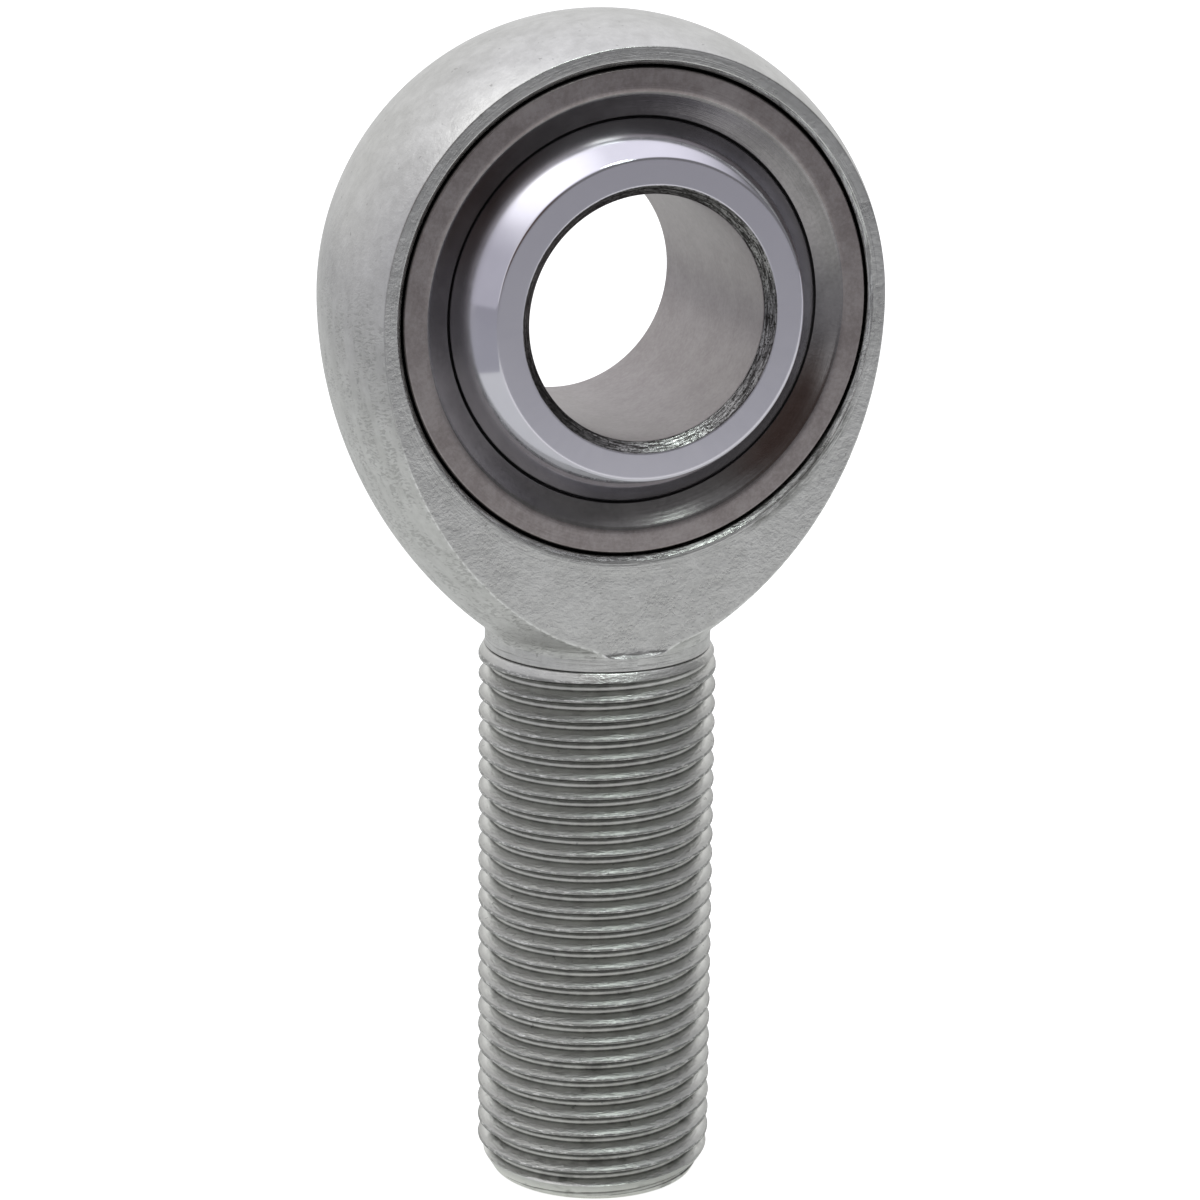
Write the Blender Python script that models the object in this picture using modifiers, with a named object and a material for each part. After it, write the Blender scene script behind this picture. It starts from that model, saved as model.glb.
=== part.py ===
"""Rod end bearing for a 3/4 inch bolt, with a 3/4-16 right-hand threaded shank.

Dimensions are in millimetres, and MM turns them into Blender's metres. The origin is the ball's
centre. +Z points from there away from the shank, and the ball's bore runs along Y.
"""

from math import acos, asin, cos, pi, radians, sin, sqrt

import bmesh
import bpy

MM = 0.001
INCH = 25.4

# Ball
BALL_RADIUS = 1.312 * INCH / 2
BALL_WIDTH = 0.875 * INCH
BORE_RADIUS = 0.750 * INCH / 2
BORE_CHAMFER = 0.8

# Liner and race, which follow the ball's sphere outwards
RUNNING_GAP = 0.06
LINER_THICKNESS = 0.25
RACE_OUTER_RADIUS = 18.95
RACE_WIDTH = 16.92
RACE_CHAMFER = 0.25
FLARE_RADIUS = 17.0
FLARE_ANGLE = radians(30)
LINER_RECESS = 0.15

# Body
HEAD_RADIUS = 1.75 * INCH / 2
HEAD_WIDTH = 0.687 * INCH
EYE_RADIUS = 19.20
EYE_CHAMFER = 0.25
SHOULDER_RADIUS = 33.6
NECK_RADIUS = 9.05
NECK_FILLET = 1.3
FLAT_END_Z = -27.2
THREAD_TOP_Z = -29.1
SHANK_END_Z = -2.875 * INCH

# Thread
MAJOR_RADIUS = 0.750 * INCH / 2
PITCH = INCH / 16
THREAD_DEPTH = 0.61343 * PITCH
CREST_FLAT = PITCH / 8
FLANK_SLOPE = 1 / sqrt(3)
END_CHAMFER = 1.15
RUNOUT_TURNS = 0.75
RUNOUT_RISE = THREAD_DEPTH + 0.15

# Facets
ROUND_STEPS = 60
SHANK_STEPS = 24
ARC_STEP = radians(6)
FILLET_STEPS = 3
SHARP_ANGLE = radians(32)

COLOURS = {
    # name: (red, green, blue), roughness, metallic
    "rod_end_body": ((0.42, 0.42, 0.40), 0.42, 1.0),
    "outer_race": ((0.27, 0.25, 0.24), 0.38, 1.0),
    "ptfe_liner": ((0.015, 0.014, 0.013), 0.80, 0.0),
    "ball": ((0.56, 0.55, 0.60), 0.14, 1.0),
}


def clear_scene():
    for obj in list(bpy.data.objects):
        bpy.data.objects.remove(obj, do_unlink=True)


def new_collection(name, hidden=False):
    collection = bpy.data.collections.new(name)
    bpy.context.scene.collection.children.link(collection)
    collection.hide_render = hidden
    return collection


def metal(name):
    colour, roughness, metallic = COLOURS[name]
    material = bpy.data.materials.new(name)
    material.use_nodes = True
    shader = material.node_tree.nodes["Principled BSDF"]
    shader.inputs["Base Color"].default_value = (*colour, 1.0)
    shader.inputs["Roughness"].default_value = roughness
    shader.inputs["Metallic"].default_value = metallic
    return material


def arc(centre, radius, start, end, steps=None):
    """Points on a circle in the (radius, height) plane, from the start angle to the end angle."""
    steps = steps or max(1, round(abs(end - start) / ARC_STEP))
    angles = [start + (end - start) * i / steps for i in range(steps + 1)]
    return [(centre[0] + radius * cos(a), centre[1] + radius * sin(a)) for a in angles]


def turned(name, profile, steps, collection, closed):
    """The profile's (radius, height) points turned once about the object's Z axis.

    An open profile runs from the axis, down its outer side and back to the axis. A closed one
    runs down its outer side and up its inner side.
    """
    mesh = bpy.data.meshes.new(name)
    ends = len(profile) if closed else len(profile) - 1
    edges = [(i, (i + 1) % len(profile)) for i in range(ends)]
    mesh.from_pydata([(r * MM, 0, z * MM) for r, z in profile], edges, [])
    obj = bpy.data.objects.new(name, mesh)
    collection.objects.link(obj)
    screw = obj.modifiers.new("Turn", "SCREW")
    screw.steps = steps
    screw.render_steps = steps
    screw.use_merge_vertices = True
    screw.merge_threshold = 0.000005
    return obj


def lay_along_y(obj):
    """Turns a piece's own Z axis onto the bore's axis, Y."""
    obj.rotation_euler = (pi / 2, 0, 0)


def make_cutter(obj):
    obj.hide_render = True
    obj.display_type = "WIRE"


def boolean(obj, other, operation):
    modifier = obj.modifiers.new(f"{operation} {other.name}", "BOOLEAN")
    modifier.object = other
    modifier.operation = operation
    modifier.solver = "EXACT"


def finish(obj):
    """Fixes the modifiers' result and the turn as the object's mesh, smooth where it is round."""
    bpy.context.view_layer.update()
    graph = bpy.context.evaluated_depsgraph_get()
    mesh = bpy.data.meshes.new_from_object(obj.evaluated_get(graph))
    mesh.transform(obj.matrix_world)
    obj.rotation_euler = (0, 0, 0)
    mesh.name = obj.name
    mesh.materials.clear()
    mesh.materials.append(metal(obj.name))
    mesh.shade_smooth()
    mesh.set_sharp_from_angle(angle=SHARP_ANGLE)
    obj.modifiers.clear()
    obj.data = mesh


def make_ball(collection):
    """The truncated ball, with a straight bore and a chamfer at each end of it."""
    half = BALL_WIDTH / 2
    reach = asin(half / BALL_RADIUS)
    mouth = BORE_RADIUS + BORE_CHAMFER
    profile = arc((0, 0), BALL_RADIUS, reach, -reach)
    profile += [(mouth, -half), (BORE_RADIUS, BORE_CHAMFER - half)]
    profile += [(BORE_RADIUS, half - BORE_CHAMFER), (mouth, half)]
    ball = turned("ball", profile, ROUND_STEPS, collection, closed=True)
    lay_along_y(ball)
    finish(ball)
    return ball


def race_lip(sphere_radius):
    """(radius, height) where the race's flare meets its spherical wall.

    The flare is the line from (FLARE_RADIUS, RACE_WIDTH / 2) inwards at FLARE_ANGLE. In polar form
    it lies a fixed distance from the centre along its own normal.
    """
    distance = RACE_WIDTH / 2 * cos(FLARE_ANGLE) - FLARE_RADIUS * sin(FLARE_ANGLE)
    polar = pi / 2 + FLARE_ANGLE - acos(distance / sphere_radius)
    return sphere_radius * cos(polar), sphere_radius * sin(polar)


def make_race(collection):
    """The ring in the eye: cylindrical outside, spherical inside, flared beside the ball."""
    sphere_radius = BALL_RADIUS + 2 * RUNNING_GAP + LINER_THICKNESS
    half = RACE_WIDTH / 2
    reach = asin(race_lip(sphere_radius)[1] / sphere_radius)
    edge = RACE_OUTER_RADIUS - RACE_CHAMFER
    profile = [(FLARE_RADIUS, half), (edge, half), (RACE_OUTER_RADIUS, half - RACE_CHAMFER)]
    profile += [(RACE_OUTER_RADIUS, RACE_CHAMFER - half), (edge, -half), (FLARE_RADIUS, -half)]
    profile += arc((0, 0), sphere_radius, -reach, reach)
    race = turned("outer_race", profile, ROUND_STEPS, collection, closed=True)
    lay_along_y(race)
    finish(race)
    return race


def make_liner(collection):
    """The thin spherical band between ball and race, cut off flat just inside the race's lip."""
    inner = BALL_RADIUS + RUNNING_GAP
    outer = inner + LINER_THICKNESS
    half = race_lip(outer + RUNNING_GAP)[1] - LINER_RECESS
    profile = arc((0, 0), outer, asin(half / outer), -asin(half / outer))
    profile += arc((0, 0), inner, -asin(half / inner), asin(half / inner))
    liner = turned("ptfe_liner", profile, ROUND_STEPS, collection, closed=True)
    lay_along_y(liner)
    finish(liner)
    return liner


def head_profile():
    """The turned outline of the head, from its top down to the neck.

    A sphere down to its widest, then a larger arc tangent to it there, then a hollow fillet that
    touches both that arc and the neck.
    """
    shoulder_x = HEAD_RADIUS - SHOULDER_RADIUS
    fillet_x = NECK_RADIUS + NECK_FILLET
    fillet_z = -sqrt((SHOULDER_RADIUS + NECK_FILLET) ** 2 - (fillet_x - shoulder_x) ** 2)
    touch = asin(fillet_z / (SHOULDER_RADIUS + NECK_FILLET))
    profile = arc((0, 0), HEAD_RADIUS, pi / 2, 0)
    profile += arc((shoulder_x, 0), SHOULDER_RADIUS, 0, touch)[1:]
    profile += arc((fillet_x, fillet_z), NECK_FILLET, pi + touch, pi, FILLET_STEPS)[1:]
    return profile


def make_flat_cutter(name, side, collection):
    """A block that mills one flat of the head. side is -1 in front and 1 behind."""
    depth = HEAD_RADIUS
    height = HEAD_RADIUS * 1.2 - FLAT_END_Z
    bpy.ops.mesh.primitive_cube_add(size=1)
    block = bpy.context.active_object
    block.name = name
    block.scale = (2.4 * HEAD_RADIUS * MM, depth * MM, height * MM)
    block.location = (
        0,
        side * (HEAD_WIDTH / 2 + depth / 2) * MM,
        (FLAT_END_Z + height / 2) * MM,
    )
    for home in block.users_collection:
        home.objects.unlink(block)
    collection.objects.link(block)
    make_cutter(block)
    return block


def make_eye_cutter(collection):
    """The eye's bore, chamfered where it meets each flat."""
    half = HEAD_WIDTH / 2
    past = half + 2
    wide = EYE_RADIUS + EYE_CHAMFER + past - half
    profile = [(0, past), (wide, past), (EYE_RADIUS, half - EYE_CHAMFER)]
    profile += [(EYE_RADIUS, EYE_CHAMFER - half), (wide, -past), (0, -past)]
    cutter = turned("eye_cutter", profile, ROUND_STEPS, collection, closed=False)
    lay_along_y(cutter)
    make_cutter(cutter)
    return cutter


def make_thread_cutter(collection):
    """The thread's groove: a section carried up a right-hand helix, one ring of corners a step.

    The section is a truncated V. It rises clear of the shank where the groove runs out.
    """
    root = MAJOR_RADIUS - THREAD_DEPTH
    clear = MAJOR_RADIUS + 0.1
    wide = (PITCH - CREST_FLAT) / 2 + (clear - MAJOR_RADIUS) * FLANK_SLOPE
    narrow = wide - (clear - root) * FLANK_SLOPE
    section = [(root, -narrow), (root, narrow), (clear, wide), (clear, -wide)]
    start_z = SHANK_END_Z - PITCH
    steps = round((THREAD_TOP_Z - PITCH / 3 - start_z) / PITCH * SHANK_STEPS)
    shape = bmesh.new()
    last = None
    for step in range(steps + 1):
        angle = 2 * pi * step / SHANK_STEPS
        turns_left = (steps - step) / SHANK_STEPS
        lift = RUNOUT_RISE * max(0, 1 - turns_left / RUNOUT_TURNS)
        ring = []
        for radius, height in section:
            x = (radius + lift) * cos(angle) * MM
            y = (radius + lift) * sin(angle) * MM
            z = (start_z + height + PITCH * angle / (2 * pi)) * MM
            ring.append(shape.verts.new((x, y, z)))
        if last:
            for i in range(len(ring)):
                j = (i + 1) % len(ring)
                shape.faces.new((last[i], last[j], ring[j], ring[i]))
        else:
            shape.faces.new(ring)
        last = ring
    shape.faces.new(last)
    bmesh.ops.recalc_face_normals(shape, faces=shape.faces[:])
    mesh = bpy.data.meshes.new("thread_cutter")
    shape.to_mesh(mesh)
    shape.free()
    cutter = bpy.data.objects.new("thread_cutter", mesh)
    collection.objects.link(cutter)
    make_cutter(cutter)
    return cutter


def make_shank(collection):
    """The threaded shank, whose upper end reaches inside the neck."""
    inside = NECK_RADIUS - 0.15
    rise = MAJOR_RADIUS - inside
    tip = MAJOR_RADIUS - END_CHAMFER
    profile = [(0, FLAT_END_Z), (inside, FLAT_END_Z), (inside, THREAD_TOP_Z)]
    profile += [(MAJOR_RADIUS, THREAD_TOP_Z - rise), (MAJOR_RADIUS, SHANK_END_Z + END_CHAMFER)]
    profile += [(tip, SHANK_END_Z), (0, SHANK_END_Z)]
    shank = turned("shank", profile, SHANK_STEPS, collection, closed=False)
    boolean(shank, make_thread_cutter(collection), "DIFFERENCE")
    make_cutter(shank)
    return shank


def make_body(collection, cutters):
    """The forging: a turned head with two flats and an eye, and the threaded shank below it."""
    stub_end = THREAD_TOP_Z - (MAJOR_RADIUS - NECK_RADIUS)
    profile = head_profile() + [(NECK_RADIUS, stub_end), (0, stub_end)]
    body = turned("rod_end_body", profile, ROUND_STEPS, collection, closed=False)
    boolean(body, make_flat_cutter("front_flat_cutter", -1, cutters), "DIFFERENCE")
    boolean(body, make_flat_cutter("back_flat_cutter", 1, cutters), "DIFFERENCE")
    boolean(body, make_eye_cutter(cutters), "DIFFERENCE")
    boolean(body, make_shank(cutters), "UNION")
    finish(body)
    return body


def main():
    clear_scene()
    parts = new_collection("rod_end_bearing")
    cutters = new_collection("cutters", hidden=True)
    body = make_body(parts, cutters)
    race = make_race(parts)
    liner = make_liner(parts)
    ball = make_ball(parts)
    # The joints' tree. Every piece's origin is the ball's centre, which is on both joint axes.
    race.parent = body
    liner.parent = body
    ball.parent = liner
    bpy.context.view_layer.update()


main()
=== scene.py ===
"""Rod end bearing: the finished surfaces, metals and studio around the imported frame.

Shapes are worked out in millimetres, and MM turns them into metres. The origin is the ball's
centre, the bore runs along Y and the shank points down.
"""

from math import cos, pi, radians, sin, sqrt, tan

import bmesh
import bpy
import numpy as np
from mathutils import Matrix, Vector


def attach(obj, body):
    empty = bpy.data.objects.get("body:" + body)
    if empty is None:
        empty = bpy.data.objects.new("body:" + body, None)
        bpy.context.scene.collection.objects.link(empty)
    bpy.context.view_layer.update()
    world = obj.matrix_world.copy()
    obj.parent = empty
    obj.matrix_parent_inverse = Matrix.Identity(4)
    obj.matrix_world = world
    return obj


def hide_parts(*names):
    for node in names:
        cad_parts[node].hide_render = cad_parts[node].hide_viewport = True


MM = 0.001
WELD = 1e-6

# Body: turned head with two milled flats, an eye and a fillet down to the neck
HEAD_RADIUS = 22.225
HALF_WIDTH = 8.7249
SHOULDER_RADIUS = 33.6
FILLET_RADIUS = 1.3
NECK_RADIUS = 9.05
FLAT_RISE_Z = -26.9
FLAT_END_Z = -27.2
EYE_RADIUS = 19.05
EYE_CHAMFER = 0.40
EDGE_BREAK = 0.09
BREAK_FADE = 2.0
CROWN_FADE_Z = 24
NECK_SPREAD_Z = -20
NECK_SPREAD = 7.0
# The flats' lower edges are worn bright, partly worn metal and partly a painted highlight: where that
# starts, how it fades in, and how bright rim, corner and face get
RUB_AND_SHEEN_BELOW_Z = -6
RUB_AND_SHEEN_FADE = 6
RIM_RUB_AND_SHEEN = 0.4
CORNER_RUB_AND_SHEEN = 1.4
FACE_RUB_AND_SHEEN = 0.2

# Shank: a 3/4-16 right-hand thread
MAJOR_RADIUS = 9.525
PITCH = 25.4 / 16
THREAD_DEPTH = 0.60 * PITCH
FLANK_SLOPE = tan(radians(30))
RING_CUT_Z = -28.27
RING_CUT_RADIUS = 8.93
THREAD_TOP_Z = -28.37
THREAD_TOP_RADIUS = 9.15
SHANK_END_Z = -73.025
END_CHAMFER = 1.15
END_TAPER = 0.6
BLANK_SLOPE = 0.55
RUNOUT_TURNS = 0.6
RUNOUT_END = 0.4
CREST_ROUNDING = 0.05
CREST_SPARE = 0.02
GROOVE_START = 1.42
# Rows of the thread's sheet: place in the groove, in pitches above its middle, and the painted shade
# there (below 0), darkest in a line under each crest
GROOVE_ROWS = [
    (-0.500, 0.0), (-0.445, 0.0), (-0.425, -0.2), (-0.360, -0.3), (-0.290, -0.2), (-0.220, -0.1),
    (-0.165, -0.3), (-0.125, -0.7), (-0.090, -0.8), (-0.055, -0.5), (0.0, -0.4), (0.050, -0.6),
    (0.090, -0.9), (0.125, -0.9), (0.165, -0.9), (0.250, -0.9), (0.340, -1.3), (0.425, -1.6),
    (0.445, -0.4),
]

# Race, liner and ball
RACE_OUTER_RADIUS = 18.95
RACE_HALF_WIDTH = 8.46
FLARE_RADIUS = 17.0
FLARE_HOLLOW = 0.07
LIP_RADIUS = 15.08
LIP_HEIGHT = 7.4255
LIP_DEPTH = 0.13
RACE_SPHERE = 17.03
LINER_OUTER = 16.97
LINER_INNER = 16.69
LINER_HALF_WIDTH = 7.27
BALL_RADIUS = 16.662
BALL_HALF_WIDTH = 11.1125
BORE_RADIUS = 9.525
BORE_CHAMFER = 0.8
MOUTH_RADIUS = BORE_RADIUS + BORE_CHAMFER

# Steps of the grids
OUTLINE_STEPS = 150
QUARTER_STEPS = 28
TURN_STEPS = 240
CORNER_STEPS = 4

# The bright sheet that the part stands on, in millimetres
SHEET_LEFT = -127
SHEET_RIGHT = 225
SHEET_FRONT = -190


# ---------------------------------------------------------------- surfaces


def head_radius(z):
    """The head's turned radius at height z.

    A sphere above z = 0; below it an arc of SHOULDER_RADIUS tangent to the sphere there; then a
    hollow fillet that touches that arc and the neck; then the straight neck.
    """
    shoulder_x = HEAD_RADIUS - SHOULDER_RADIUS
    fillet_x = NECK_RADIUS + FILLET_RADIUS
    reach = SHOULDER_RADIUS + FILLET_RADIUS
    fillet_z = -sqrt(reach**2 - (fillet_x - shoulder_x) ** 2)
    touch_z = fillet_z * SHOULDER_RADIUS / reach
    sphere = np.sqrt(np.maximum(HEAD_RADIUS**2 - z**2, 0))
    shoulder = shoulder_x + np.sqrt(np.maximum(SHOULDER_RADIUS**2 - z**2, 0))
    fillet = fillet_x - np.sqrt(np.maximum(FILLET_RADIUS**2 - (z - fillet_z) ** 2, 0))
    below = [z >= 0, z >= touch_z, z >= fillet_z]
    return np.select(below, [sphere, shoulder, fillet], NECK_RADIUS)


def flat_height(z):
    """Half the head's width at height z: the flats, which curve out at their lower end until
    they leave the neck."""
    leave = float(head_radius(np.array(FLAT_END_Z)))
    along = np.clip((FLAT_RISE_Z - z) / (FLAT_RISE_Z - FLAT_END_Z), 0, 1)
    return HALF_WIDTH + (leave - HALF_WIDTH) * along**2


def outline():
    """(x, z) of the edge between a flat and the rim, evenly spaced from its top to its bottom.

    x is what is left of the turned radius beside the flat's height.
    """
    top = sqrt(HEAD_RADIUS**2 - HALF_WIDTH**2)
    swing = np.linspace(0, pi / 2, 2001)
    z = np.concatenate([top * np.cos(swing), FLAT_END_Z * np.sin(swing)[1:]])
    x = np.sqrt(np.maximum(head_radius(z) ** 2 - flat_height(z) ** 2, 0))
    x[0] = 0
    x[-1] = 0
    length = np.concatenate([[0], np.cumsum(np.hypot(np.diff(x), np.diff(z)))])
    even = np.linspace(0, length[-1], OUTLINE_STEPS + 1)
    z = np.interp(even, length, z)
    x = np.sqrt(np.maximum(head_radius(z) ** 2 - flat_height(z) ** 2, 0))
    x[[0, -1]] = 0
    return x, z


def points(x, y, z, wear_sheen_and_shade=0.0):
    """A grid of points, each with a value: above 0 where worn bright, partly as a painted
    highlight, and below 0 where painted shade darkens it.
    """
    return np.stack(np.broadcast_arrays(x, y, z, wear_sheen_and_shade), axis=-1)


def broken_edge():
    """How wide the edge between flat and rim is broken, and how far it is worn bright, 0 to 1,
    along the outline; the bright edge is partly a painted highlight. The break dies out at the
    neck, and only the lower edge is worn bright."""
    edge_x, edge_z = outline()
    share = np.clip(edge_x / BREAK_FADE + (edge_z > 0), 0, 1)
    rub_and_sheen = np.clip((RUB_AND_SHEEN_BELOW_Z - edge_z) / RUB_AND_SHEEN_FADE, 0, 1) * share
    return EDGE_BREAK * share, rub_and_sheen


def rim(side):
    """The rim of one half of the head, x >= 0 where side is 1, from the crown to the neck along
    the outline and across from one flat to the other.

    Its height goes from that of the widest line to that of the outline as a circle across the
    rim does. Towards the neck its lines spread out evenly round the shank.
    """
    edge_x, edge_z = outline()
    width = flat_height(edge_z)
    bevel, rub_and_sheen = broken_edge()
    crown = HEAD_RADIUS / edge_z[0]
    fade = np.clip(1 - (edge_z / CROWN_FADE_Z) ** 2, 0, 1)
    widest_z = edge_z * np.where(edge_z > 0, crown, 1 + (crown - 1) * fade)

    across = np.linspace(-1, 1, 2 * QUARTER_STEPS + 1)
    even = across[None, :]
    neckwards = np.clip((NECK_SPREAD_Z - edge_z) / NECK_SPREAD, 0, 1)[:, None]
    share = even + (np.sin(even * pi / 2) - even) * neckwards**2
    share = share * (1 - bevel / width)[:, None]
    fall = HEAD_RADIUS - np.sqrt(HEAD_RADIUS**2 - (HALF_WIDTH * share) ** 2)
    bulge = fall / (HEAD_RADIUS - sqrt(HEAD_RADIUS**2 - HALF_WIDTH**2))
    z = widest_z[:, None] + (edge_z - widest_z)[:, None] * bulge
    y = width[:, None] * share
    x = side * np.sqrt(np.maximum(head_radius(z) ** 2 - y**2, 0))
    x[0] = 0
    return points(x, y, z, np.where(np.abs(across) == 1, RIM_RUB_AND_SHEEN, 0) * rub_and_sheen[:, None])


def flat(side, facing, start):
    """The broken edge, a quadratic curve across the corner from the rim's end, and the milled
    face, straight in from there to the eye's chamfer."""
    edge_x, edge_z = outline()
    bevel, rub_and_sheen = broken_edge()
    from_eye = np.hypot(edge_x, edge_z)
    inner = 1 - bevel / from_eye
    face_x = edge_x * inner
    face_z = edge_z * inner
    edge_y = facing * flat_height(edge_z)
    face_y = facing * flat_height(face_z)
    steps = np.linspace(0, 1, 5)[None, :, None]
    corner = points(side * edge_x, edge_y, edge_z, CORNER_RUB_AND_SHEEN * rub_and_sheen)[:, None]
    end = points(side * face_x, face_y, face_z, FACE_RUB_AND_SHEEN * rub_and_sheen)[:, None]
    curve = (1 - steps) ** 2 * start[:, None] + 2 * steps * (1 - steps) * corner + steps**2 * end

    inwards = np.array([0, 0.02, 0.05, 0.1, 0.17, 0.26, 0.4, 0.6, 0.8, 0.95, 1])
    mouth = (EYE_RADIUS + EYE_CHAMFER) / from_eye
    x = side * (face_x[:, None] + (edge_x * mouth - face_x)[:, None] * inwards)
    z = face_z[:, None] + (edge_z * mouth - face_z)[:, None] * inwards
    wear_sheen_and_shade = FACE_RUB_AND_SHEEN * rub_and_sheen[:, None] * (inwards == 0)
    return [curve, points(x, facing * flat_height(z), z, wear_sheen_and_shade)]


def half_head(side):
    """The rim of one half of the head, and its broken edge and flat on each side."""
    rounded_side = rim(side)
    return [rounded_side, *flat(side, -1, rounded_side[:, 0]), *flat(side, 1, rounded_side[:, -1])]


def eye_wall():
    """The eye's wall and its two chamfers: circles about Y at the outline's own angles."""
    edge_x, edge_z = outline()
    edge = np.hypot(edge_x, edge_z)
    right = np.stack([edge_x / edge, edge_z / edge])
    left = right[:, -2::-1] * np.array([[-1], [1]])
    around = np.concatenate([right, left], axis=1)
    lip = HALF_WIDTH - EYE_CHAMFER
    half = [
        (EYE_RADIUS + EYE_CHAMFER, HALF_WIDTH),
        (EYE_RADIUS + 0.9 * EYE_CHAMFER, HALF_WIDTH - 0.06 * EYE_CHAMFER),
        (EYE_RADIUS + 0.1 * EYE_CHAMFER, lip + 0.14 * EYE_CHAMFER),
        (EYE_RADIUS, lip - 0.1 * EYE_CHAMFER),
        (EYE_RADIUS, 0.8 * lip),
    ]
    profile = np.array(half + [(r, -y) for r, y in reversed(half)])
    radius = profile[:, 0][:, None]
    return [points(radius * around[0], profile[:, 1][:, None], radius * around[1])]


def around_z(radius, z, angle, wear_sheen_and_shade=0.0):
    """Points at that radius, height and angle about the shank's axis."""
    return points(radius * np.cos(angle), radius * np.sin(angle), z, wear_sheen_and_shade)


def shank_angles():
    return np.linspace(0, 2 * pi, 4 * QUARTER_STEPS + 1)


def soft_least(a, b, rounding):
    """The smaller of two heights, with their crossing rounded off."""
    return (a + b - np.sqrt((a - b) ** 2 + rounding**2)) / 2


def neck():
    """The straight neck, turned, from the flats' end down to the thread, with a shallow ring cut
    just above it, darkened by painted shade that thins out on one side."""
    straight = [(FLAT_END_Z - below, NECK_RADIUS, 0) for below in (0, 0.04, 0.08, 0.11, 0.5, 0.9)]
    cut = [(RING_CUT_Z + 0.07, NECK_RADIUS, 0)]
    cut += [(RING_CUT_Z + 0.03, RING_CUT_RADIUS, -1), (RING_CUT_Z - 0.02, RING_CUT_RADIUS, -1)]
    cut += [(RING_CUT_Z - 0.06, NECK_RADIUS, -0.3), (THREAD_TOP_Z, THREAD_TOP_RADIUS, 0)]
    z, radius, wear_sheen_and_shade = np.array(straight + cut).T[:, :, None]
    radius[0] = head_radius(z[0])
    angle = shank_angles()
    # Painted shade in the ring cut, heavy on one side and thin on the other
    shade_by_side = 0.6 - 0.4 * np.cos(angle - radians(30))
    return [around_z(radius, z, angle, wear_sheen_and_shade * shade_by_side)]


def thread():
    """The thread as one helical sheet, and the shank's end.

    A row keeps its place in the groove as it goes once round, so each row's end is the start of
    the row a pitch above. The radius is the least of the V groove's, the blank's with its
    rounded crest, and the end chamfer's. In the last turn the groove rises out of the metal.
    Painted shade, blotched like dirt, is darkest in a line under each crest and thins out over
    the root and the flank below it.
    The crest is an eighth of a pitch wide.
    """
    start_z = SHANK_END_Z - GROOVE_START * PITCH
    angle = shank_angles()
    pitches = int(np.ceil((THREAD_TOP_Z - start_z) / PITCH)) + 1
    # Each row's value below 0 is painted shade, darkest in a line under each crest
    place, shade_and_dirt = np.array(GROOVE_ROWS).T
    from_groove = np.tile(place, pitches + 1)[:, None]
    groove = np.repeat(np.arange(pitches + 1), len(place))[:, None]
    wear_sheen_and_shade = np.tile(shade_and_dirt, pitches + 1)[:, None]
    groove_turn = groove + angle / (2 * pi)
    z = start_z + PITCH * (from_groove + groove_turn)
    z = np.clip(z, SHANK_END_Z, THREAD_TOP_Z)

    last_turn = (THREAD_TOP_Z - RUNOUT_END - start_z) / PITCH
    lift = THREAD_DEPTH * np.clip(1 - (last_turn - groove_turn) / RUNOUT_TURNS, 0, 2)
    root_half = PITCH / 2 - PITCH / 16 - THREAD_DEPTH * FLANK_SLOPE
    rise = np.maximum(np.abs(from_groove) * PITCH - root_half, 0) / FLANK_SLOPE
    floor_radius = MAJOR_RADIUS - THREAD_DEPTH + rise + lift
    cut = soft_least(floor_radius, MAJOR_RADIUS + CREST_SPARE, CREST_ROUNDING)
    blank = THREAD_TOP_RADIUS + BLANK_SLOPE * (THREAD_TOP_Z - z)
    tip = MAJOR_RADIUS - END_CHAMFER + END_TAPER * (z - SHANK_END_Z)
    plain = np.minimum(blank, tip)
    radius = np.minimum(cut, plain)
    radius = np.where(z >= THREAD_TOP_Z, THREAD_TOP_RADIUS, radius)
    left_of_groove = np.clip(1 - lift / THREAD_DEPTH, 0, 1) * (cut < plain)
    sheet = around_z(radius, z, angle, wear_sheen_and_shade * left_of_groove)

    rings = (MAJOR_RADIUS - END_CHAMFER) * np.array([1, 0.985, 0.95, 0.7, 0.35, 0])[:, None]
    return [sheet, around_z(rings, SHANK_END_Z, angle)]


def rounded(corners):
    """A closed (radius, y) outline with each corner cut by a quadratic curve of its own size.

    One more point on each side holds the straight part flat. A size of 0 keeps the corner.
    """
    corner = np.array([c[:2] for c in corners], float)
    size = np.array([c[2] for c in corners], float)[:, None]
    before = np.roll(corner, 1, axis=0) - corner
    after = np.roll(corner, -1, axis=0) - corner
    before = before / np.linalg.norm(before, axis=1, keepdims=True) * size
    after = after / np.linalg.norm(after, axis=1, keepdims=True) * size
    t = np.linspace(0, 1, CORNER_STEPS + 1)[None, :, None]
    curve = corner[:, None] + (1 - t) ** 2 * before[:, None] + t**2 * after[:, None]
    hold = 1.6
    first = (corner + hold * before)[:, None]
    last = (corner + hold * after)[:, None]
    return np.concatenate([first, curve, last], axis=1).reshape(-1, 2)


def arc(radius, start, end, steps):
    """Corners of size 0 on a circle about the centre, from one angle above the midplane to another."""
    angles = np.linspace(start, end, steps + 1)
    return [(radius * cos(a), radius * sin(a), 0) for a in angles]


def turned(profile):
    """A closed (radius, y) profile carried once round the bore's axis."""
    closed = np.concatenate([profile, profile[:1]])
    angle = np.linspace(0, 2 * pi, TURN_STEPS + 1)[:, None]
    return [points(closed[:, 0] * np.sin(angle), closed[:, 1], closed[:, 0] * np.cos(angle))]


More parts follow.
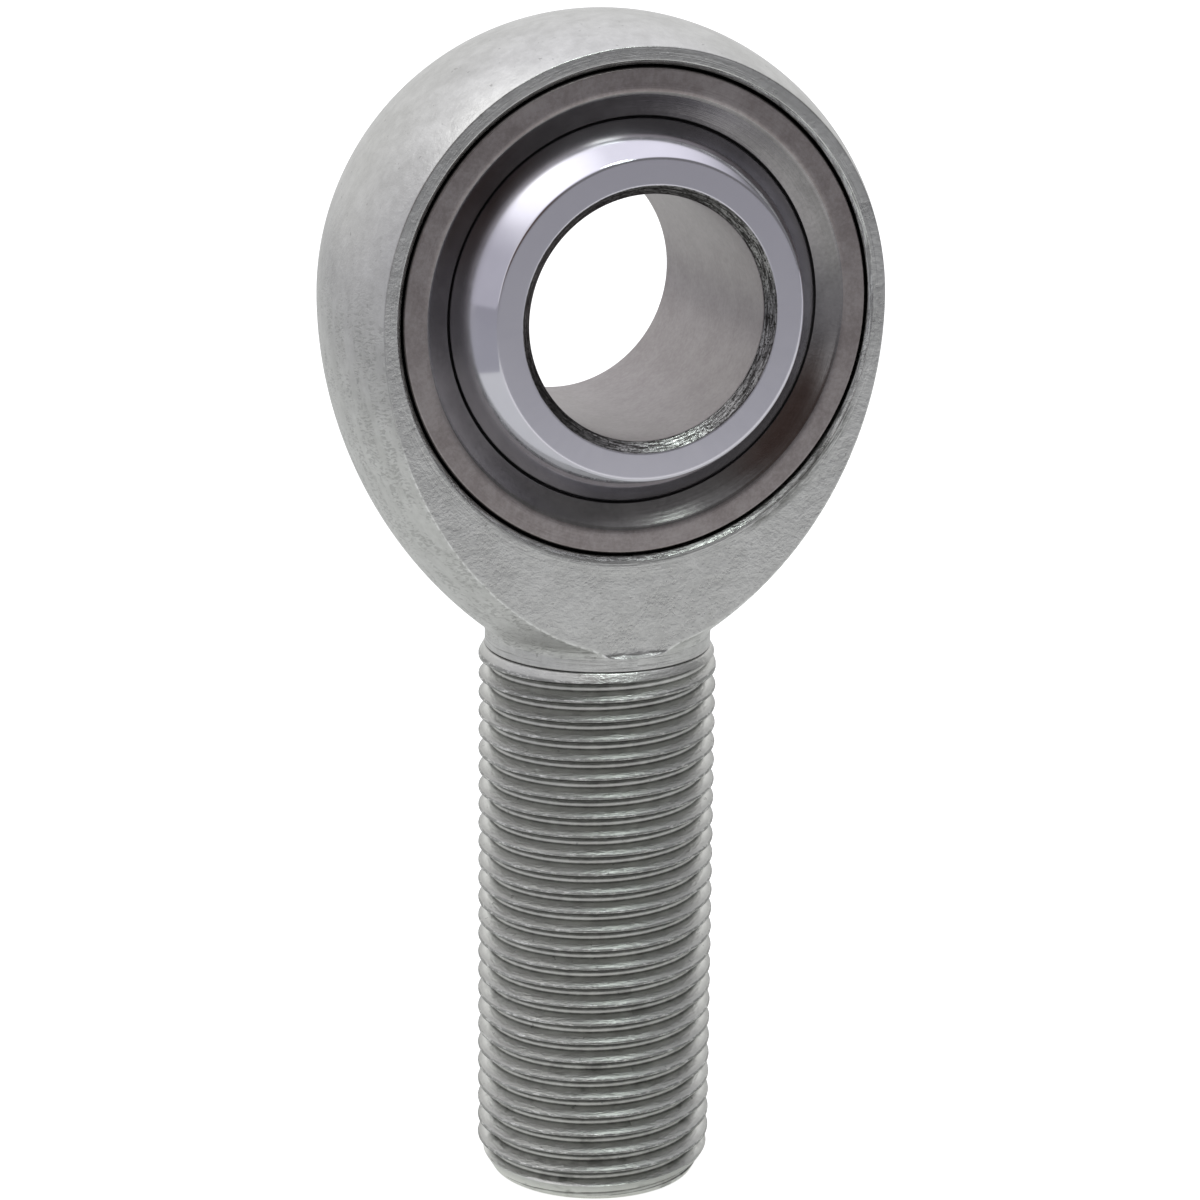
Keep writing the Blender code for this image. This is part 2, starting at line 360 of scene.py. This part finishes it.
def race():
    """The race: a plain ring outside, flat faces, a flare that is a shallow hollow curve, and the
    spherical wall inside."""
    half = RACE_HALF_WIDTH
    reach = np.arcsin((LIP_HEIGHT - LIP_DEPTH) / RACE_SPHERE)
    share = np.linspace(0, 1, 9)
    flare_r = FLARE_RADIUS + (LIP_RADIUS - FLARE_RADIUS) * share
    flare_y = half + (LIP_HEIGHT - half) * share - FLARE_HOLLOW * np.sin(pi * share)
    front = [(r, y, 0) for r, y in zip(flare_r[1:-1], flare_y[1:-1])]
    upper = [(LIP_RADIUS, LIP_HEIGHT, 0.04), *front[::-1], (FLARE_RADIUS, half, 0.32)]
    upper += [(RACE_OUTER_RADIUS - 0.22, half, 0.06), (RACE_OUTER_RADIUS, half - 0.30, 0.08)]
    lower = [(r, -y, size) for r, y, size in reversed(upper)]
    wall = arc(RACE_SPHERE, -reach, reach, 24)
    return turned(rounded(upper + lower + wall))


def liner():
    """The liner: a thin spherical band between ball and race."""
    outer = np.arcsin(LINER_HALF_WIDTH / LINER_OUTER)
    inner = np.arcsin(LINER_HALF_WIDTH / LINER_INNER)
    band = arc(LINER_OUTER, outer, -outer, 32) + arc(LINER_INNER, -inner, inner, 32)
    return turned(rounded(band))


def ball():
    """The ball: a sphere cut off flat at both sides, bored through and chamfered."""
    half = BALL_HALF_WIDTH
    reach = np.arcsin(half / BALL_RADIUS)
    rim_radius = sqrt(BALL_RADIUS**2 - half**2)
    side = [(BORE_RADIUS, half - BORE_CHAMFER, 0.12), (MOUTH_RADIUS, half, 0.10)]
    side += [(rim_radius, half, 0.16)]
    crown = arc(BALL_RADIUS, reach, -reach, 64)[1:-1]
    other = [(r, -y, size) for r, y, size in reversed(side)]
    return turned(rounded(side + crown + other))


def piece(name, grids, finish, body, node):
    """Joins grids of points into one closed mesh that stands for a node and rides on its body.

    Neighbouring points of a grid make its faces. Edges that lie on each other are merged, which
    also drops the faces that an end or a pole shrinks to a line.
    """
    corners = []
    faces = []
    first = 0
    for grid in grids:
        index = first + np.arange(grid.shape[0] * grid.shape[1]).reshape(grid.shape[:2])
        around = [index[:-1, :-1], index[:-1, 1:], index[1:, 1:], index[1:, :-1]]
        faces.append(np.stack(around, axis=-1).reshape(-1, 4))
        corners.append(grid.reshape(-1, 4))
        first += index.size
    mesh = bpy.data.meshes.new(name)
    corners = np.concatenate(corners)
    mesh.from_pydata((corners[:, :3] * MM).tolist(), [], np.concatenate(faces).tolist())
    wear_sheen_and_shade = mesh.attributes.new("wear_sheen_and_shade", "FLOAT", "POINT")
    wear_sheen_and_shade.data.foreach_set("value", corners[:, 3].astype(np.float32))
    shape = bmesh.new()
    shape.from_mesh(mesh)
    bmesh.ops.remove_doubles(shape, verts=shape.verts, dist=WELD)
    bmesh.ops.recalc_face_normals(shape, faces=shape.faces)
    shape.to_mesh(mesh)
    shape.free()
    mesh.shade_smooth()
    mesh.set_sharp_from_angle(angle=radians(40))
    mesh.materials.append(finish.material)
    obj = bpy.data.objects.new(name, mesh)
    bpy.context.scene.collection.objects.link(obj)
    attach(obj, body)
    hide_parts(node)


# ---------------------------------------------------------------- finishes


class Field:
    """A socket whose value varies over a surface. Arithmetic on it adds Math nodes."""

    def __init__(self, nodes, socket):
        self.nodes = nodes
        self.socket = socket

    def math(self, operation, *values):
        return self.nodes.add("Math", {"operation": operation}, dict(enumerate(values)))

    def __add__(self, other):
        return self.math("ADD", self, other)

    def __radd__(self, other):
        return self.math("ADD", other, self)

    def __sub__(self, other):
        return self.math("SUBTRACT", self, other)

    def __rsub__(self, other):
        return self.math("SUBTRACT", other, self)

    def __mul__(self, other):
        return self.math("MULTIPLY", self, other)

    def __rmul__(self, other):
        return self.math("MULTIPLY", other, self)

    def __pow__(self, other):
        return self.math("POWER", self, other)

    def __abs__(self):
        return self.math("ABSOLUTE", self)

    def between(self, low, high):
        """0 at low, 1 at high, smooth in between; low may be the larger one."""
        settings = {"interpolation_type": "SMOOTHSTEP"}
        values = {"Value": self, "From Min": low, "From Max": high}
        return self.nodes.add("MapRange", settings, values)


def distance_and_angle(a, b):
    """The distance from an axis and the angle round it, from the two offsets across it."""
    return (a * a + b * b) ** 0.5, a.math("ARCTAN2", a, b)


class Nodes:
    """A node tree in the making, with one method that adds any node."""

    def __init__(self, tree):
        self.tree = tree

    def add(self, kind, settings=None, values=None, output=0):
        """A node of that kind: its settings are set first, then its sockets' values or links."""
        node = self.tree.nodes.new("ShaderNode" + kind)
        for key, value in (settings or {}).items():
            setattr(node, key, value)
        for key, value in (values or {}).items():
            self.plug(node.inputs[key], value)
        return Field(self, node.outputs[output])

    def plug(self, socket, value):
        if isinstance(value, Field):
            self.tree.links.new(value.socket, socket)
        else:
            socket.default_value = value

    def split(self, vector):
        return [self.add("SeparateXYZ", None, {0: vector}, output=i) for i in range(3)]

    def noise(self, x, y, z, detail, rough):
        """A cloudy pattern, 0 to 1, at that place."""
        place = self.add("CombineXYZ", None, {0: x, 1: y, 2: z})
        values = {"Vector": place, "Scale": 1.0, "Detail": detail, "Roughness": rough}
        return self.add("TexNoise", None, values)

    def blend(self, share, first, second):
        """first where share is 0, second where it is 1; both are colours or colour fields."""
        values = {0: share, 6: first, 7: second}
        return self.add("Mix", {"data_type": "RGBA"}, values, output=2)


class Finish(Nodes):
    """A material in the making."""

    def __init__(self, name, metallic=1.0):
        self.material = bpy.data.materials.new(name)
        self.material.use_nodes = True
        super().__init__(self.material.node_tree)
        self.shader = self.tree.nodes["Principled BSDF"]
        self.shader.inputs["Metallic"].default_value = metallic

    def place(self):
        """x, y and z on the piece, in millimetres."""
        metres = self.add("TexCoord", output="Object")
        return self.split(self.add("VectorMath", {"operation": "SCALE"}, {0: metres, "Scale": 1 / MM}))

    def dress(self, colour, roughness, height, depth):
        """Links the colour and roughness, and a bump of that height, at most depth metres."""
        self.plug(self.shader.inputs["Base Color"], colour)
        self.plug(self.shader.inputs["Roughness"], roughness)
        bump = self.add("Bump", None, {"Strength": 1.0, "Distance": depth, "Height": height})
        self.plug(self.shader.inputs["Normal"], bump)
        return self


def rgb(red, green, blue):
    return (red, green, blue, 1.0)


# Near black, painted as shade in the gap between the eye and the race
GAP_SHADE_BLACK = rgb(0.004, 0.004, 0.004)


def zinc_plate():
    """Zinc-plated steel: pale grey and mottled, with a few dark specks. The flats and the neck
    show turned rings, the rim patches of fine feed lines, and the flats' lower edges are worn
    bright, partly as a painted highlight. The thread's crests are streaked and its flanks painted
    paler towards the root as painted light against the root's shade; painted shade, blotched like
    dirt, darkens the rows under each crest and the ring cut at the neck. The gap at the eye is
    painted near black as shade, and streaks beside the eye's lower right are a painted dark
    reflection."""
    f = Finish("zinc_plated_steel")
    x, y, z = f.place()
    from_bore, bore_angle = distance_and_angle(x, z)
    from_axis, axis_angle = distance_and_angle(x, y)
    on_head = z.between(FLAT_END_Z - 0.2, FLAT_RISE_Z)
    past_eye = from_bore.between(EYE_RADIUS + 0.25, EYE_RADIUS + 0.45)
    on_flat = abs(y).between(HALF_WIDTH - 0.1249, HALF_WIDTH - 0.0249) * on_head * past_eye
    on_thread = z.between(RING_CUT_Z - 0.03, RING_CUT_Z - 0.13)
    in_eye = from_bore.between(EYE_RADIUS + 0.42, EYE_RADIUS + 0.35) * on_head

    cloud = f.noise(x * 0.30, y * 0.30, z * 0.30, 3.0, 0.6)
    blotch = f.noise(x * 1.1, y * 1.1, z * 1.1, 3.0, 0.6)
    grain = f.noise(x * 3.6, y * 3.6, z * 3.6, 3.0, 0.65)
    speck = f.noise(x * 1.5 + 7.0, y * 1.5, z * 1.5, 2.0, 0.6).between(0.70, 0.74)
    rings = f.noise(from_bore * 6.5, bore_angle * 1.2, 0.0, 3.0, 0.65)
    neck_rings = f.noise(z * 5.5, axis_angle * 1.1, 0.3, 3.0, 0.65)
    near_neck = z.between(-24.5, -26.5) * (1 - on_thread) * (1 - on_flat)
    near_eye = on_flat * from_bore.between(EYE_RADIUS + 1.85, EYE_RADIUS + 0.55)

    tone = cloud * 0.5 + blotch * 0.35 + grain * 0.15
    colour = f.blend(tone.between(0.30, 0.70), rgb(0.50, 0.50, 0.485), rgb(0.66, 0.66, 0.645))
    face = f.blend(tone.between(0.30, 0.70), rgb(0.435, 0.435, 0.42), rgb(0.555, 0.555, 0.54))
    colour = f.blend(on_flat, colour, face)
    lines = neck_rings.between(0.42, 0.34) * near_neck + rings.between(0.38, 0.32) * near_eye
    colour = f.blend(lines * 0.45, colour, rgb(0.20, 0.20, 0.19))

    on_crest = from_axis.between(MAJOR_RADIUS - 0.125, MAJOR_RADIUS - 0.035)
    # Painted light: the flanks are painted paler towards the root to lift the root's shade, and darker
    # towards the crest
    up_flank = from_axis.between(8.6, 9.5) + tone * 0.4 - 0.2
    flank = f.blend(up_flank, rgb(0.92, 0.925, 0.885), rgb(0.54, 0.542, 0.52))
    streak = f.noise(axis_angle * 14, z * 5.0, from_axis * 5.0, 3.0, 0.7)
    crest = f.blend(streak.between(0.46, 0.68), rgb(0.30, 0.302, 0.29), rgb(0.66, 0.662, 0.645))
    flank = f.blend(on_crest, flank, crest)
    dirt = f.noise(axis_angle * 3.0, z * 0.55, from_axis * 0.3, 3.0, 0.6)
    smudge = dirt.between(0.54, 0.68) * from_axis.between(9.3, 8.8) * z.between(-44.0, -66.0)
    flank = f.blend(smudge * 0.45, flank, rgb(0.07, 0.07, 0.06))
    colour = f.blend(on_thread, colour, flank)

    colour = f.blend(speck * 0.4, colour, rgb(0.16, 0.155, 0.145))
    # Below 0 the value paints shade, blotched like dirt, in the thread's rows and the neck's ring cut
    wear_sheen_and_shade = f.add("Attribute", {"attribute_name": "wear_sheen_and_shade"}, output="Fac")
    shade_and_dirt = wear_sheen_and_shade.between(0.0, -1.0) * (0.46 + blotch * 0.6)
    colour = f.blend(shade_and_dirt, colour, rgb(0.050, 0.050, 0.045))
    # A near-black painted shade line under each thread crest
    colour = f.blend(wear_sheen_and_shade.between(-1.0, -1.6), colour, rgb(0.020, 0.020, 0.018))
    # Above 0 the lower edges are worn bright in broken dashes, partly a painted highlight
    uneven = f.noise(x * 2.2, y * 2.2, z * 2.2, 2.0, 0.6)
    rub_and_sheen = wear_sheen_and_shade.between(0.0, 1.0) * uneven.between(0.35, 0.6)
    colour = f.blend(rub_and_sheen * 0.8, colour, rgb(0.88, 0.88, 0.87))
    torn = f.noise(from_bore * 8, bore_angle * 9, y * 8, 3.0, 0.7)
    chamfer = f.blend(torn.between(0.42, 0.58), rgb(0.34, 0.34, 0.325), rgb(0.66, 0.67, 0.64))
    colour = f.blend(in_eye, colour, chamfer)
    # Painted shade: the bottom of the gap between eye and race is painted near black
    gap_shade = in_eye * from_bore.between(EYE_RADIUS + 0.10, EYE_RADIUS + 0.01)
    colour = f.blend(gap_shade, colour, GAP_SHADE_BLACK)

    patch = f.noise(x * 0.5, y * 0.9, z * 0.22, 2.0, 0.5).between(0.40, 0.56)
    waver = f.noise(x * 0.9, y * 0.9, z * 0.9, 2.0, 0.5)
    strokes = f.noise(x * 1.5, y * 1.5, z * 6.5 + y * 1.2 + waver * 4.0, 1.0, 0.5)
    strokes = strokes.between(0.53, 0.40) * patch * (1 - on_flat) * on_head * z.between(5.0, -3.0)
    colour = f.blend(strokes * 0.38, colour, rgb(0.22, 0.22, 0.21))
    # Painted dark reflection: streaky dark patches on the flat beside the eye's lower right
    dark_reflection_streaks = f.noise(from_bore * 2.4, bore_angle * 7.0, 0.7, 4.0, 0.7).between(0.40, 0.60)
    low_right = x.between(8.5, 10.5) * z.between(-7.0, -9.5) * y.between(-7.0, -8.0)
    dark_reflection_streaks = dark_reflection_streaks * from_bore.between(EYE_RADIUS + 1.45, EYE_RADIUS + 0.55) * low_right * on_head
    colour = f.blend(dark_reflection_streaks * 0.8, colour, rgb(0.12, 0.12, 0.11))
    height = grain * 0.5 + blotch * 0.5 - strokes * 0.35
    height = height + rings * (0.10 * on_flat + 0.55 * near_eye) + neck_rings * near_neck * 0.9
    height = height + streak * on_thread * 0.8 + torn * in_eye * 0.25
    roughness = 0.25 + cloud * 0.14 + grain * 0.10 - on_thread * 0.04 + gap_shade * 0.4
    roughness = roughness + shade_and_dirt * 0.3 - on_flat * 0.07 - in_eye * 0.08
    return f.dress(colour, roughness, height, 0.00006)


def race_steel():
    """Bare race steel: brown-grey, finely turned, painted darker down the flare as painted shade,
    and painted near black on its outer corner as shade in the gap beside the eye."""
    f = Finish("race_steel")
    x, y, z = f.place()
    from_bore, bore_angle = distance_and_angle(x, z)
    rings = f.noise(from_bore * 7.5, bore_angle * 1.0, y * 4, 3.0, 0.6)
    cloud = f.noise(x * 0.3, y * 0.3, z * 0.3, 3.0, 0.6)
    grain = f.noise(x * 3.5, y * 3.5, z * 3.5, 3.0, 0.65)
    tone = (cloud * 0.6 + grain * 0.4).between(0.32, 0.68)
    colour = f.blend(tone, rgb(0.235, 0.207, 0.201), rgb(0.345, 0.316, 0.310))
    # Painted shade: the flare gets a darker copy of the race's colour
    on_flare = from_bore.between(FLARE_RADIUS + 0.05, FLARE_RADIUS - 0.05)
    flare = f.blend(tone, rgb(0.205, 0.197, 0.195), rgb(0.285, 0.275, 0.272))
    colour = f.blend(on_flare, colour, flare)
    # Painted shade: the race's outer corner, in the gap beside the eye, is painted near black
    gap_shade = from_bore.between(RACE_OUTER_RADIUS - 0.17, RACE_OUTER_RADIUS - 0.09)
    colour = f.blend(gap_shade, colour, GAP_SHADE_BLACK)
    roughness = 0.27 + cloud * 0.08 + rings * 0.08 - on_flare * 0.13 + gap_shade * 0.4
    height = rings * 0.6 + grain * 0.4
    return f.dress(colour, roughness, height, 0.000014)


def liner_fabric():
    """The liner's woven edge, nearly black."""
    f = Finish("ptfe_liner", metallic=0.0)
    x, y, z = f.place()
    weave = f.noise(x * 8, y * 8, z * 8, 3.0, 0.7)
    colour = f.blend(weave, rgb(0.002, 0.002, 0.002), rgb(0.008, 0.0075, 0.007))
    return f.dress(colour, 0.75 + weave * 0.2, weave, 0.00002)


def polished_ball():
    """Hardened steel with a lilac cast: a polished sphere, darkened by painted shade in a band
    next to the race, ground ends with faint radial streaks, a matt bore darkened further by
    painted shade, and a bore mouth turned coarse enough to flake and glitter."""
    f = Finish("polished_ball")
    x, y, z = f.place()
    from_bore, bore_angle = distance_and_angle(x, z)
    in_bore = from_bore.between(MOUTH_RADIUS + 0.035, MOUTH_RADIUS - 0.045)
    on_face = abs(y).between(BALL_HALF_WIDTH - 0.0525, BALL_HALF_WIDTH - 0.0125) * (1 - in_bore)
    chamfer_y = BALL_HALF_WIDTH - BORE_CHAMFER
    in_mouth = in_bore * abs(y).between(chamfer_y - 0.0525, chamfer_y + 0.0275)
    in_wall = in_bore * (1 - in_mouth)
    cloud = f.noise(x * 0.4, y * 0.4, z * 0.4, 3.0, 0.6)
    grain = f.noise(x * 3.0, y * 3.0, z * 3.0, 3.0, 0.65)
    streaks = f.noise(from_bore * 0.5, bore_angle * 24, y * 0.5, 2.0, 0.5)
    rings = f.noise(from_bore * 9, bore_angle * 7.0, y * 9, 4.0, 0.7)
    flakes = f.noise(from_bore * 7, bore_angle * 48, y * 7, 3.0, 0.75)

    colour = f.blend(cloud, rgb(0.61, 0.60, 0.66), rgb(0.69, 0.68, 0.74))
    colour = f.blend(on_face, colour, rgb(0.605, 0.592, 0.635))
    tone = (cloud * 0.5 + grain * 0.5).between(0.3, 0.7)
    # The bore's matt wall: darker than the sphere, partly for its finish and partly as painted shade
    # in the bore
    wall = f.blend(tone, rgb(0.31, 0.285, 0.285), rgb(0.40, 0.375, 0.375))
    # Painted shade: the sphere darkens in a band next to the race
    race_shade_band = abs(y).between(9.7, 8.5) * (1 - in_bore)
    colour = f.blend(race_shade_band * 0.6, colour, rgb(0.30, 0.28, 0.29))
    colour = f.blend(in_wall, colour, wall)
    coarse = f.blend(rings.between(0.38, 0.66), rgb(0.030, 0.028, 0.027), rgb(0.40, 0.395, 0.39))
    colour = f.blend(in_mouth, colour, coarse)
    colour = f.blend(in_mouth * flakes.between(0.52, 0.60), colour, rgb(0.03, 0.03, 0.027))
    roughness = 0.07 + cloud * 0.04 + race_shade_band * 0.14 + on_face * (0.09 + streaks * 0.08)
    roughness = roughness + in_wall * 0.30 + in_mouth * 0.10
    height = rings * in_mouth * 0.35 + flakes * in_mouth * 0.45 + grain * in_wall * 0.25
    height = height + streaks * on_face * 0.03
    return f.dress(colour, roughness, height, 0.00005)


# ---------------------------------------------------------------- studio


def add_floor():
    """A plain sheet on a table, both white as seen directly. The metal sees them dimmer, with a
    pool of light on the sheet's front."""
    half = 3.0
    mesh = bpy.data.meshes.new("floor")
    z = SHANK_END_Z * MM - 0.0002
    corners = [(-half, -half, z), (half, -half, z), (half, half, z), (-half, half, z)]
    mesh.from_pydata(corners, [], [(0, 1, 2, 3)])
    floor = bpy.data.objects.new("floor", mesh)
    bpy.context.scene.collection.objects.link(floor)
    f = Finish("floor", metallic=0.0)
    f.shader.inputs["Base Color"].default_value = rgb(0.36, 0.36, 0.36)
    f.shader.inputs["Roughness"].default_value = 0.9
    f.shader.inputs["Emission Strength"].default_value = 1.0
    x, y, z = f.place()
    sheet = x.between(SHEET_LEFT - 1, SHEET_LEFT + 1) * x.between(SHEET_RIGHT + 5, SHEET_RIGHT - 5)
    sheet = sheet * y.between(SHEET_FRONT - 10, SHEET_FRONT + 10)
    table = f.blend(y.between(-20, 60), rgb(0.03, 0.03, 0.05), rgb(0.15, 0.15, 0.16))
    glow = f.blend(sheet, table, rgb(0.34, 0.35, 0.335))
    pool = y.between(-230, -165) * y.between(-60, -150) * x.between(-110, -40)
    glow = f.blend(pool, glow, rgb(0.78, 0.78, 0.79))
    seen = f.add("LightPath", output="Is Camera Ray")
    f.plug(f.shader.inputs["Emission Color"], f.blend(seen, glow, rgb(0.9, 0.9, 0.9)))
    mesh.materials.append(f.material)


def add_world():
    """White as seen directly. The metal sees a dim front, a bright wall behind, a lilac-white
    ceiling with two lamps, and a dark figure where the camera stands."""
    world = bpy.data.worlds.new("studio")
    bpy.context.scene.world = world
    world.use_nodes = True
    f = Nodes(world.node_tree)
    background = f.tree.nodes["Background"]
    x, y, z = f.split(f.add("TexCoord", output="Generated"))
    light = f.blend(y.between(0.22, 0.38), rgb(0.22, 0.22, 0.225), rgb(0.85, 0.85, 0.85))
    light = f.blend(x.between(-0.46, -0.60), light, rgb(0.80, 0.795, 0.82))
    light = f.blend(x.between(-0.72, -0.90), light, rgb(0.58, 0.575, 0.62))
    ceiling = (z - y.between(-0.2, -0.7) * 0.18).between(0.35, 0.90)
    light = f.blend(ceiling, light, rgb(1.12, 1.11, 1.18))
    lamp = (x * -0.44 + y * -0.01 + z * 0.90).between(0.87, 0.99)
    light = f.blend(lamp, light, rgb(1.60, 1.60, 1.64))
    high_lamp = (x * -0.48 + y * 0.20 + z * 0.855).between(0.95, 0.995)
    light = f.blend(high_lamp, light, rgb(2.1, 2.1, 2.1))
    figure = (x * -0.36 + y * -0.87 + z * 0.33).between(0.93, 0.965)
    light = f.blend(figure, light, rgb(0.11, 0.07, 0.06))
    seen = f.add("LightPath", output="Is Camera Ray")
    f.plug(background.inputs["Color"], f.blend(seen, light, rgb(1.05, 1.05, 1.05)))


def add_softbox(name, place, width, depth, power):
    """A faintly green rectangular light at place, in metres, turned to the ball."""
    data = bpy.data.lights.new(name, "AREA")
    data.shape = "RECTANGLE"
    data.size = width
    data.size_y = depth
    data.energy = power
    data.color = (0.88, 1.0, 0.94)
    light = bpy.data.objects.new(name, data)
    bpy.context.scene.collection.objects.link(light)
    light.location = place
    light.rotation_euler = Vector(place).to_track_quat("Z", "Y").to_euler()


def add_camera():
    """A camera to the left of the bore and above it, rolled a little."""
    azimuth = radians(-20.48)
    elevation = radians(15.46)
    roll = radians(0.58)
    distance = 0.30848
    target = Vector((0.00019, 0, -0.02488))
    back = Vector((sin(azimuth) * cos(elevation), -cos(azimuth) * cos(elevation), sin(elevation)))
    level = Vector((cos(azimuth), sin(azimuth), 0))
    upright = back.cross(level)
    right = cos(roll) * level + sin(roll) * upright
    data = bpy.data.cameras.new("camera")
    data.sensor_width = 36
    data.lens = 115.6
    data.clip_start = 0.01
    data.clip_end = 50
    camera = bpy.data.objects.new("camera", data)
    bpy.context.scene.collection.objects.link(camera)
    turn = Matrix((right, back.cross(right), back)).transposed()
    camera.matrix_world = Matrix.Translation(target + back * distance) @ turn.to_4x4()
    bpy.context.scene.camera = camera


# ---------------------------------------------------------------- scene

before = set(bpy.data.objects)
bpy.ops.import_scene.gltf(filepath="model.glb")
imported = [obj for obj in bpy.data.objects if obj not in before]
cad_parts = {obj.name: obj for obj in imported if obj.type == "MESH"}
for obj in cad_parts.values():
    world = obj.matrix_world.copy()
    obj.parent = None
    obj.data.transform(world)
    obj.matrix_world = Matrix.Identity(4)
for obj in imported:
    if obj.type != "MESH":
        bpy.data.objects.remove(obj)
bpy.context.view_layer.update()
bpy.context.scene.view_settings.view_transform = "Standard"

forging = half_head(1) + half_head(-1) + eye_wall() + neck() + thread()
piece("body_forging", forging, zinc_plate(), "housing", "rod_end_body")
piece("race_ring", race(), race_steel(), "housing", "outer_race")
piece("liner_band", liner(), liner_fabric(), "liner", "ptfe_liner")
piece("bored_ball", ball(), polished_ball(), "ball", "ball")

add_floor()
add_world()
add_softbox("front_high", (0.035, -0.195, 0.57), 0.10, 0.10, 0.65)
add_softbox("front_low", (0.10, -0.39, 0.444), 0.07, 0.05, 0.08)
add_camera()
